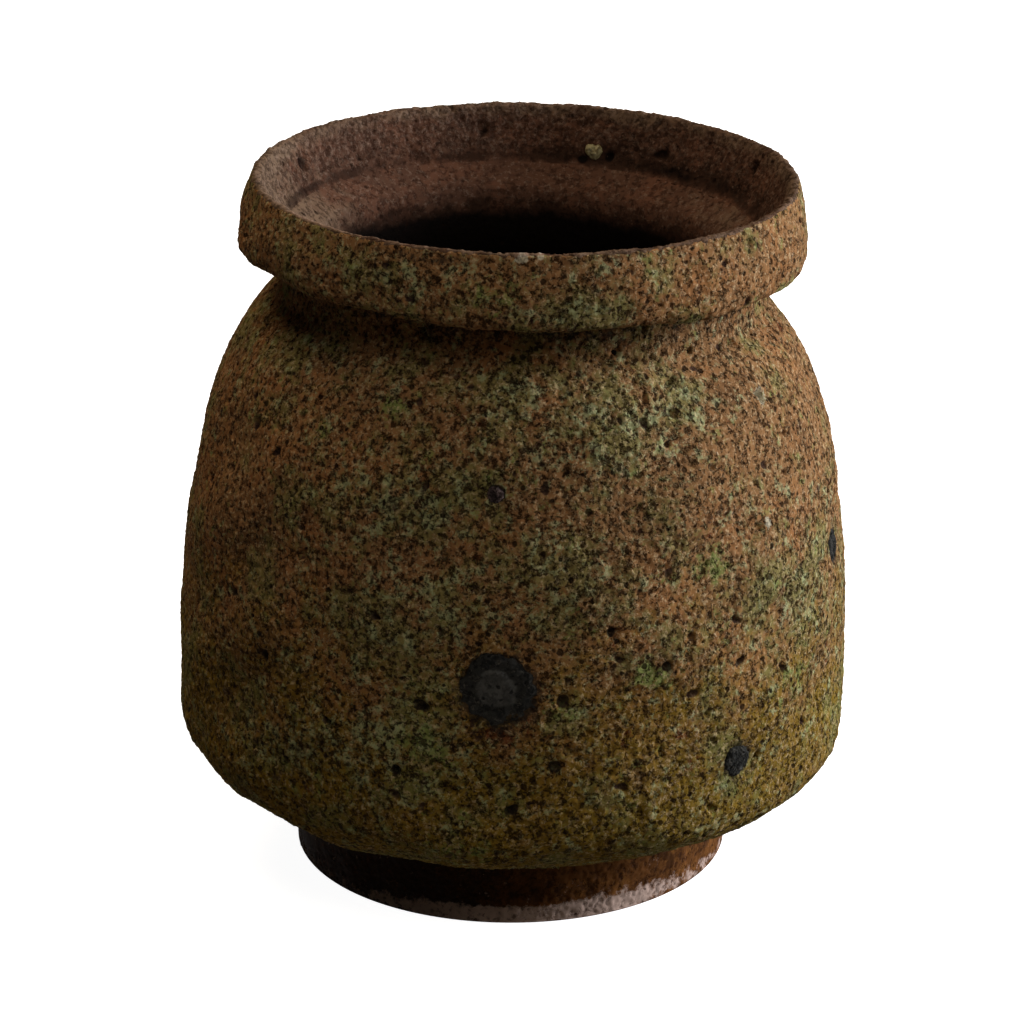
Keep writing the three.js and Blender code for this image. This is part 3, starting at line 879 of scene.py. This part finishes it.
@dataclass
class Foot:
    """The turned foot ring with the base slab that lies in it."""

    radius: float = 65.3
    flare: float = 0.5
    height: float = 19.0
    bevel: float = 0.8
    ring_width: float = 14.0
    ledge: float = 7.0
    recess: float = 8.5
    slip: float = 0.3
    worn_height: float = 4.5
    slab_rough: float = 0.6
    segments: int = 900
    slab_segments: int = 256
    step: float = 0.45
    plain_step: float = 2.0

    def ring(self) -> Turned:
        """The foot ring, with a pale band worn round its base that is paler at the front as painted light,
        and painted shade on its sides.
        """
        inner, seat = self.radius - self.ring_width, self.radius - self.ring_width + self.ledge
        top = self.radius + self.flare
        outside = np.array([(self.radius, self.bevel), (top, self.height)])
        edge = bezier(((self.radius - self.bevel, 0), (self.radius, 0), (self.radius, self.bevel)), 6)
        hidden = np.array([(seat, self.height), (seat, self.recess), (inner, self.recess)])
        recess = np.array([(inner, self.recess), (inner, self.bevel)])
        rest = np.array([(inner + self.bevel, 0), (self.radius - self.bevel, 0)])
        worn = self.worn_height
        marks = lay_marks({
            # The pale band is real wear, and it is made much paler at the front as painted light thrown up
            # from the floor
            Field.PALE: (
                (0, worn * 0.45, ALL_ROUND, worn * 0.9, 0.4), (0, worn * 0.6, 60, worn * 1.1, 0.9),
                (30, worn * 0.9, 36, worn * 1.4, 0.5)),
            # The foot is darkened on its shaded left, partly dirt and partly painted shade, and on its right
            # as painted shade under the belly
            Field.SOOT: ((75, 17, 60, 12, 0.4), (-55, 10, 110, 40, 1.4))})
        return Turned("foot_ring_turned", (
            Stretch(walk(rest, self.plain_step)),
            Stretch(edge[1:-1]),
            Stretch(walk(outside, self.step), 1.0),
            Stretch(hidden),
            Stretch(walk(recess, self.plain_step)[1:]),
        ), self.segments, marks)

    def slab(self) -> Turned:
        """The base slab, seen in the recess and on the floor of the jar."""
        radius = self.radius - self.ring_width + self.ledge - self.slip
        low, high = self.recess + self.slip, self.height
        return Turned("base_slab_disc", tuple(
            Stretch(walk(np.array(face), self.plain_step), self.slab_rough)
            for face in (((0, low), (radius, low)), ((radius, high), (0, high)))
        ), self.slab_segments)

    def build(self) -> list[bpy.types.Object]:
        """Make the foot ring and the base slab."""
        turned = RoughSkin(lump_size=14, lump_depth=0.3, crust_depth=0.15, grain_size=1.6, grain_depth=0.25,
                           pore_spacing=5, pore_depth=0.2, pit_spacing=12, pit_depth=0.5)
        return [
            dress(self.ring(), turned, FOOT_CLAY, "foot_ring"),
            dress(self.slab(), turned, BARE_CLAY, "base_slab"),
        ]


@dataclass
class Body:
    """The wall, under the gritty coat with its slag stones."""

    edge: Point = (66.4, 19.3)
    belly: Point = (100.0, 46.5)
    shoulder: Point = (72.4, 171.7)
    neck: Point = (70.2, 186.0)
    underside_angle: float = 22.0
    underside_run: float = 24.8
    belly_turn: float = 12.5
    belly_reach: float = 47.0
    shoulder_angle: float = 40.0
    shoulder_run: float = 30.6
    neck_run: float = 3.2
    neck_reach: float = 8.0
    coat: float = 2.5
    edge_rough: Point = (1.0, 3.2)
    edge_fade: float = 4.0
    slip: float = 0.3
    wall: float = 9.5
    seam_height: float = 92.0
    fillet: float = 17.0
    fillet_height: float = 14.0
    segments: int = 1360
    step: float = 0.45
    band_rows: int = 4
    wall_segments: int = 320
    wall_step: float = 1.6
    bands: tuple[str, ...] = (
        "coat_underside", "coat_belly", "coat_seam", "coat_waist", "coat_flank", "coat_shoulder", "coat_neck")
    stone_proud: float = 0.35
    stone_drop: float = 3.0
    stone_bend: int = 8
    stone_depth: float = 0.9
    core_rise: float = 0.15
    core_ring: float = 0.1
    core_rough: Point = (0.3, 1.0)
    core_shift: float = 0.3
    stone_segments: int = 120
    stone_step: float = 0.025

    def outline(self) -> np.ndarray:
        """The coat's outside, from the foot up to the groove under the collar."""
        underside = aim(self.edge, self.underside_angle, self.underside_run)
        into_belly = (self.belly[0], self.belly[1] - self.belly_turn)
        out_of_belly = (self.belly[0], self.belly[1] + self.belly_reach)
        into_shoulder = aim(self.shoulder, -self.shoulder_angle, self.shoulder_run)
        out_of_shoulder = aim(self.shoulder, 180 - self.shoulder_angle, self.neck_run)
        into_neck = (self.neck[0], self.neck[1] - self.neck_reach)
        return np.vstack([
            bezier((self.edge, underside, into_belly, self.belly))[:-1],
            bezier((self.belly, out_of_belly, into_shoulder, self.shoulder))[:-1],
            bezier((self.shoulder, out_of_shoulder, into_neck, self.neck)),
        ])

    def between(self, low: float, high: float, depth: float, step: float) -> np.ndarray:
        """Points at a depth below the outline, upwards between two heights of it."""
        outside = walk(self.outline(), step)
        return (outside - depth * free_side(outside))[(outside[:, 1] >= low) & (outside[:, 1] <= high)]

    def coat_bands(self, sockets: tuple[Mark, ...]) -> list[bpy.types.Object]:
        """Make the coat whole, so that its grain runs on, and part it into bands that meet edge to edge.

        Args:
            sockets: the hollows that stones lie in.

        Returns:
            The bands, upwards.
        """
        outside = walk(self.outline(), self.step)
        sides = free_side(outside)
        count, rows = len(self.bands), self.band_rows
        behind = np.linspace(len(outside) - 1, 0, count * rows + 1).round().astype(int)
        foot = self.edge[1]
        rough = grade(outside[:, 1], self.edge_rough, foot + self.edge_fade, foot)
        whole = Turned("coat_whole", (
            Stretch(outside, rough, sides, Hand().fade(outside)),
            Stretch(outside[behind] - self.coat * sides[behind], 0.0, sides[behind]),
        ), self.segments, COAT_MARKS + sockets).mesh()
        RoughSkin().roughen(whole, GRIT_COAT.material())
        stops = behind[::-rows]
        bands = []
        for number, (name, first, last) in enumerate(zip(self.bands, stops, stops[1:])):
            back = len(outside) + rows * (count - 1 - number) + np.arange(rows + 1)
            rings = np.concatenate([np.arange(first, last + 1), back])
            bands.append(fix(part_rings(whole, name, rings, self.segments), "body_coat"))
        bpy.data.meshes.remove(whole.data)
        return bands

    def stone(self, name: str, bearing: float, height: float, half_width: float, half_height: float,
              core: float) -> Stone:
        """A slag stone in the coat.

        Args:
            name: the piece's name.
            bearing: the bearing of its middle.
            height: the height of its middle.
            half_width: half its width.
            half_height: half its height.
            core: how far a smooth round core reaches in it, as a share of its half sizes.

        Returns:
            The stone, ready to be made.
        """
        share = np.linspace(1, 0, round(1 / self.stone_step) + 1)
        swell = Hand().lump(bearing, height)
        dome = self.stone_proud * (1 - self.stone_drop * share ** self.stone_bend) + swell
        rough = np.ones_like(share)
        if core:
            ring = np.exp(-((share - core) / self.core_ring) ** 2)
            dome += self.core_rise * smooth_step(share, core, core * 0.6) - self.core_rise * ring
            rough = grade(share, self.core_rough, core * 0.7, core * 1.1)
        back = np.stack([[0, 0.5, 1.0], np.full(3, swell - self.coat * self.stone_depth)], 1)
        front = np.stack([share, dome], 1)
        shift = self.core_shift * core
        return Stone(
            name, (Stretch(back), Stretch(front, rough, np.tile([0.0, 1.0], (len(front), 1)))),
            self.stone_segments, (), Kiln(), bearing, height, half_width, half_height,
            -shift * half_width, shift * half_height, outline=walk(self.outline(), self.step))

    def walls(self) -> tuple[Turned, Turned]:
        """The belly and shoulder sections of the wall, seen through the mouth."""
        clay, inner = self.coat + self.slip, self.coat + self.slip + self.wall
        base, step = self.edge[1], self.wall_step
        lower_in = self.between(base + self.fillet_height, self.seam_height, inner, step)[::-1]
        floor_edge = (self.edge[0] - clay - self.fillet, base)
        corner = ((lower_in[-1, 0] + floor_edge[0]) / 2, base + self.slip)
        fillet = walk(bezier((tuple(lower_in[-1]), corner, floor_edge)), step)
        lower_out = self.between(base, self.seam_height, clay, step * 3)
        lower_out = np.vstack([[(self.edge[0] - clay, base)], lower_out[lower_out[:, 1] > base]])
        upper_out = self.between(self.seam_height + self.slip, self.shoulder[1], clay, step * 3)
        upper_in = self.between(self.seam_height + self.slip, self.shoulder[1], inner, step)[::-1]
        lower = (Stretch(lower_out), Stretch(lower_in, 1.0), Stretch(fillet[1:], 1.0))
        upper = (Stretch(upper_out), Stretch(upper_in, 1.0))
        return (
            Turned("lower_wall_thrown", lower, self.wall_segments, WALL_MARKS),
            Turned("upper_wall_thrown", upper, self.wall_segments, WALL_MARKS),
        )

    def build(self) -> list[bpy.types.Object]:
        """Make the coat, the stones in it and the wall behind it."""
        stones = (
            self.stone("slag_stone_large_rough", -2.5, 88.0, 11.2, 10.4, 0.6),
            self.stone("slag_stone_small_rough", 40.0, 60.0, 4.8, 5.0, 0.0),
            self.stone("slag_stone_edge_rough", 73.5, 107.5, 4.6, 5.4, 0.0),
            self.stone("slag_stone_middle_rough", -4.3, 143.0, 2.5, 2.5, 0.0),
        )
        sockets = lay_marks({
            kind: tuple(
                (stone.bearing, stone.height, stone.half_width * wide, stone.half_height * wide, strength)
                for stone in stones)
            for kind, wide, strength in ((Field.DENT, 1.15, -2.2), (Field.SOOT, 1.5, 1.1))})
        slag = RoughSkin(lump_size=6, lump_depth=0.35, crust_size=3.0, crust_depth=0.4, grain_size=1.2,
                         grain_depth=0.25, pore_spacing=2.2, pore_depth=0.5, pit_spacing=8, pit_depth=0.3)
        thrown = RoughSkin(lump_size=20, lump_depth=0.5, crust_depth=0.1, grain_size=3, grain_depth=0.2,
                           pore_depth=0.1, pit_depth=0.2)
        made = self.coat_bands(sockets)
        made += [dress(stone, slag, SLAG, stone.name.removesuffix("_rough")) for stone in stones[:-1]]
        made.append(dress(stones[-1], slag, CLINKER, "slag_stone_middle"))
        made += [dress(wall, thrown, BARE_CLAY, wall.name.removesuffix("_thrown")) for wall in self.walls()]
        return made


@dataclass
class Rim:
    """The neck ring with its ledge, and the collar with its coat."""

    groove: Point = (70.5, 186.6)
    swell: Point = (82.8, 191.4)
    lip: Point = (79.5, 209.1)
    undercut_angle: float = 1.0
    undercut_run: float = 10.0
    collar_round: float = 4.0
    collar_reach: float = 10.0
    lip_run: float = 4.0
    lip_edge: float = 1.4
    lip_rise: float = 0.3
    lip_roll: float = 1.2
    lip_sink: float = 0.4
    cove_run: float = 0.2
    cove_rise: float = 2.4
    cove_overlap: float = 1.2
    cove_drop: float = 0.5
    cove_sink: float = 0.12
    coat: float = 2.5
    coat_rough: Point = (0.35, 1.0)
    coat_fade: Point = (1.0, 8.0)
    lip_coat: float = 0.9
    gallery_rough: Point = (0.15, 0.8)
    gallery_fade: float = 4.0
    hidden_shift: Point = (-0.3, 0.2)
    seat_rises: Point = (2.0, 0.3)
    ledge_rough: Point = (0.2, 0.5)
    ledge_fade: float = 3.0
    ledge_roll: float = 2.0
    cone_foot: Point = (67.4, 186.0)
    cone_top: Point = (69.4, 193.3)
    cone_gap: float = 0.31
    ledge_inner: Point = (62.7, 188.1)
    throat: Point = (59.5, 178.1)
    seat_outer: Point = (70.6, 169.6)
    seat_inner: Point = (64.5, 162.3)
    lime_radius: float = 2.6
    lime_bearing: float = 162.5
    lime_rise: float = 3.2
    lime_sink: float = 0.4
    lime_rows: int = 33
    lime_segments: int = 64
    segments: int = 1120
    step: float = 0.45
    plain_step: float = 3.0
    neck_segments: int = 720
    neck_step: float = 0.7

    def outline(self) -> np.ndarray:
        """The coat's outside on the collar, from the groove to the lip."""
        swell, lip = self.swell, self.lip
        return np.vstack([
            bezier((self.groove, aim(self.groove, self.undercut_angle, self.undercut_run),
                    (swell[0], swell[1] - self.collar_round), swell))[:-1],
            bezier((swell, (swell[0], swell[1] + self.collar_reach), (lip[0], lip[1] - self.lip_run), lip)),
        ])

    def on_cone(self, height: float) -> Point:
        """The point of the collar's seat at a height, just clear of the neck's cone."""
        slope = (self.cone_top[0] - self.cone_foot[0]) / (self.cone_top[1] - self.cone_foot[1])
        return self.cone_foot[0] + slope * (height - self.cone_foot[1]) + self.cone_gap, height

    def on_ledge(self, inward: float) -> Point:
        """The point of the sloping ledge that lies so far inward of the cone's top."""
        slope = (self.cone_top[1] - self.ledge_inner[1]) / (self.cone_top[0] - self.ledge_inner[0])
        return self.cone_top[0] - inward, self.cone_top[1] - slope * inward

    def coat_skins(self, step: float) -> tuple[np.ndarray, np.ndarray, np.ndarray]:
        """The coat's outside up to the lip, its ways out, and its inside, which nears it towards the lip."""
        outside = walk(self.outline(), step)
        outside = outside[outside[:, 1] < self.lip[1] - self.lip_edge]
        sides = free_side(outside)
        share = np.linspace(0, 1, len(outside))[:, None]
        depth = self.coat + (self.lip_coat - self.coat) * share ** 2
        return outside, sides, outside - depth * sides

    def lip_top(self) -> tuple[np.ndarray, np.ndarray, np.ndarray]:
        """The lip's round top from outside to inside, its ways out, and shares from 0 to 1 at its crest."""
        radius, top = self.lip
        curve = walk(bezier((
            (radius, top - self.lip_edge), (radius, top + self.lip_rise),
            (radius - self.lip_edge * self.lip_roll, top),
            (radius - 2 * self.lip_edge, top - self.lip_edge / 2))), self.step)
        return curve, free_side(curve), np.clip(2 * np.linspace(0, 1, len(curve)), 0, 1)[:, None]

    def collar_coat(self) -> Turned:
        """The coat on the collar, which rolls over the lip and sinks into it at its crest."""
        outside, sides, _ = self.coat_skins(self.step)
        _, _, inside = self.coat_skins(self.plain_step)
        top, out, share = self.lip_top()
        edge = (share < 1).ravel()
        outside = np.vstack([outside, (top - self.lip_sink * share * out)[edge]])
        sides = np.vstack([sides, out[edge]])
        high, low = (self.lip[1] - drop for drop in self.coat_fade)
        rough = grade(outside[:, 1], self.coat_rough, high, low)
        seat = np.array([self.on_cone(inside[0, 1]), self.on_cone(self.groove[1])])
        return Turned("rim_coat_rough", (
            Stretch(outside, rough, sides, Hand().fade(outside)), Stretch(inside[::-1]), Stretch(seat),
        ), self.segments, RIM_MARKS)

    def collar(self) -> Turned:
        """The collar's bare clay: the worn lip and the gallery wall, and the hidden side under the coat."""
        _, _, hidden = self.coat_skins(self.plain_step)
        top, out, share = self.lip_top()
        lip = top - self.lip_sink * (1 - share) * out
        foot = self.on_cone(self.cone_top[1])
        cove = (foot[0] + self.lip_edge, foot[1] + self.cove_rise)
        end = self.on_ledge(self.cove_overlap)
        end = (end[0], end[1] - self.cove_sink)
        run = self.on_ledge(-self.cove_run)
        gallery = walk(bezier((tuple(lip[-1]), cove, run, end)), self.step)
        bare = np.vstack([lip, gallery[1:]])
        rough = grade(bare[:, 1], self.gallery_rough, self.cone_top[1], self.cone_top[1] + self.gallery_fade)
        under = self.on_cone(self.cone_top[1] - self.cove_drop / 2)
        seat = np.array([under, *(self.on_cone(hidden[0, 1] + rise) for rise in self.seat_rises)])
        return Turned("rim_collar_worn", (
            Stretch(hidden + self.hidden_shift), Stretch(bare, rough), Stretch(seat),
        ), self.segments, LIP_MARKS)

    def neck(self) -> Turned:
        """The neck ring: the smooth sloping ledge, the throat and the flare below it.

        The ledge's outer edge is let down a little, and the foot of the collar's cove runs into it.
        """
        outer = (self.cone_top[0], self.cone_top[1] - self.cove_drop)
        ledge = np.array([outer, self.on_ledge(self.cove_overlap / 2), self.ledge_inner])
        throat = self.throat
        roll = bezier((self.ledge_inner, (throat[0], self.ledge_inner[1] - self.ledge_roll), throat))
        flare = bezier((throat, (throat[0], (throat[1] + self.seat_inner[1]) / 2), self.seat_inner))
        bare = walk(np.vstack([ledge, roll[1:], flare[1:]]), self.neck_step)
        outside = np.array([self.seat_outer, self.cone_foot])
        rough = grade(bare[:, 1], self.ledge_rough, self.cone_top[1], self.cone_top[1] - self.ledge_fade)
        stretches = (Stretch(outside), Stretch(bare, rough))
        return Turned("neck_ring_smooth", stretches, self.neck_segments, NECK_MARKS)

    def lime(self) -> Lump:
        """The lime lump in the gallery wall."""
        arc = np.linspace(-90, 90, self.lime_rows)
        ball = self.lime_radius * np.stack([np.cos(np.radians(arc)), np.sin(np.radians(arc))], 1)
        ball[[0, -1], 0] = 0
        foot = self.on_cone(self.cone_top[1])[0]
        slope = (self.lip[0] - 2 * self.lip_edge - foot) / (self.lip[1] - self.cone_top[1])
        return Lump(
            "lime_chip_rough", (Stretch(ball, 1.0),), self.lime_segments, (), Kiln(), self.lime_bearing,
            foot + slope * self.lime_rise + self.lime_sink, self.cone_top[1] + self.lime_rise)

    def build(self) -> list[bpy.types.Object]:
        """Make the neck ring, the collar, its coat and the lime lump."""
        smooth = RoughSkin(lump_size=16, lump_depth=0.3, crust_depth=0.15, grain_size=2.2, grain_depth=0.15,
                           pore_spacing=6, pore_depth=0.15, pit_spacing=20, pit_depth=0.8)
        worn = RoughSkin(lump_depth=0.4, grain_size=1.2, grain_depth=0.35, pore_depth=0.7, pit_spacing=9,
                         pit_depth=1.2)
        chalk = RoughSkin(lump_size=3.4, lump_depth=1.0, crust_size=1.6, crust_depth=0.45, grain_size=0.9,
                          grain_depth=0.15, pore_depth=0.2, pit_depth=0.2)
        return [
            dress(self.neck(), smooth, BARE_CLAY, "neck_ring"),
            dress(self.collar(), worn, BARE_CLAY, "rim_collar"),
            dress(self.collar_coat(), RoughSkin(seed=41.0), GRIT_COAT, "rim_coat"),
            dress(self.lime(), chalk, LIME, "lime_chip"),
        ]


@dataclass(frozen=True)
class Lamp:
    """A soft lamp that faces the jar: where it stands, its side and its power."""

    name: str
    bearing: float
    elevation: float
    distance: float
    side: float
    watts: float
    colour: str = WHITE


@dataclass
class Studio:
    """A pale floor, soft lamps and the camera."""

    aim_height: float = 0.10406
    camera_across: float = 0.0004
    camera_distance: float = 1.2111
    camera_pitch: float = 20.891
    lens: float = 142.554
    sensor: float = 36.0
    floor_side: float = 8.0
    floor_dim: str = "#6a645c"
    floor_glow: float = 0.96
    ambient: float = 0.003
    ambient_tint: str = "#ffdcae"
    lamps: tuple[Lamp, ...] = (
        Lamp("key_lamp", 99.0, 17.0, 1.6, 0.8, 36.0, "#f8faff"),
        Lamp("back_lamp", -134.0, 60.0, 1.6, 0.8, 9.5, "#ffe6c4"),
        Lamp("fill_lamp", 19.0, 50.0, 1.6, 0.8, 6.3, "#fff4e4"),
    )

    def floor_material(self) -> bpy.types.Material:
        """White to the eye, dim to the jar, with the jar's shadow on it."""
        material = bpy.data.materials.new("pale_studio_floor")
        add = partial(add_node, clear_tree(material))
        rays = add("ShaderNodeLightPath").outputs
        seen = rays["Is Camera Ray"]
        for kind in ("Is Glossy Ray", "Is Transmission Ray"):
            seen = add("ShaderNodeMath", {0: seen, 1: rays[kind]}, operation="MAXIMUM")
        dim, lit = (
            add("ShaderNodeBsdfDiffuse", {"Color": to_linear(colour)}) for colour in (self.floor_dim, WHITE))
        glow = add("ShaderNodeEmission", {"Color": to_linear(WHITE), "Strength": self.floor_glow})
        white = add("ShaderNodeAddShader", {0: lit, 1: glow})
        shader = add("ShaderNodeMixShader", {0: seen, 1: dim, 2: white})
        add("ShaderNodeOutputMaterial", {"Surface": shader})
        return material

    def build(self) -> None:
        """Make the floor, the world, the lamps and the camera."""
        scene = bpy.context.scene
        scene.view_settings.view_transform = "Standard"
        half = self.floor_side / 2
        mesh = bpy.data.meshes.new("studio_floor")
        corners = [(-half, -half, 0), (half, -half, 0), (half, half, 0), (-half, half, 0)]
        mesh.from_pydata(corners, [], [(0, 1, 2, 3)])
        mesh.materials.append(self.floor_material())
        floor = place_object("studio_floor", mesh)
        scene.world = self.world()
        for lamp in self.lamps:
            self.hang(lamp)
        scene.camera = self.camera()

    def world(self) -> bpy.types.World:
        """Make a dim, warm, even light from all round, which is white where it is seen.

        Returns:
            The world.
        """
        world = bpy.data.worlds.new("studio_world")
        add = partial(add_node, clear_tree(world))
        seen = add("ShaderNodeLightPath").outputs["Is Camera Ray"]
        level = add("ShaderNodeMapRange", {"Value": seen, "To Min": self.ambient, "To Max": 1.0})
        tint = add("ShaderNodeMix", {
            0: seen, 6: to_linear(self.ambient_tint), 7: to_linear(WHITE)}, data_type="RGBA")
        glow = add("ShaderNodeBackground", {"Color": tint, "Strength": level})
        add("ShaderNodeOutputWorld", {"Surface": glow})
        return world

    def hang(self, lamp: Lamp) -> None:
        """Hang a lamp so that it faces the middle of the jar.

        Args:
            lamp: the lamp.
        """
        light = bpy.data.lights.new(lamp.name, "AREA")
        light.shape = "SQUARE"
        light.size = lamp.side
        light.energy = lamp.watts
        light.color = to_linear(lamp.colour)[:3]
        made = place_object(lamp.name, light)
        turn, lift = math.radians(lamp.bearing), math.radians(lamp.elevation)
        way = Vector((math.sin(turn) * math.cos(lift), -math.cos(turn) * math.cos(lift), math.sin(lift)))
        made.location = way * lamp.distance + Vector((0, 0, self.aim_height))
        made.rotation_euler = way.to_track_quat("Z", "Y").to_euler()

    def camera(self) -> bpy.types.Object:
        """Place the camera at the view from which the jar is known.

        Returns:
            The camera.
        """
        camera = bpy.data.cameras.new("studio_camera")
        camera.lens = self.lens
        camera.sensor_width = self.sensor
        made = place_object("studio_camera", camera)
        pitch = math.radians(self.camera_pitch)
        made.location = (
            self.camera_across,
            -self.camera_distance * math.cos(pitch),
            self.aim_height + self.camera_distance * math.sin(pitch))
        made.rotation_euler = (math.pi / 2 - pitch, 0, 0)
        return made


def main() -> None:
    """Build the jar from its foot up, then the studio round it."""
    logging.basicConfig(level=logging.INFO, format="%(name)s: %(message)s")
    for assembly in (Foot(), Body(), Rim()):
        for piece in assembly.build():
            LOG.info("%s: %s, %d faces", type(assembly).__name__, piece.name, len(piece.data.polygons))
    Studio().build()


if __name__ == "__main__":
    main()
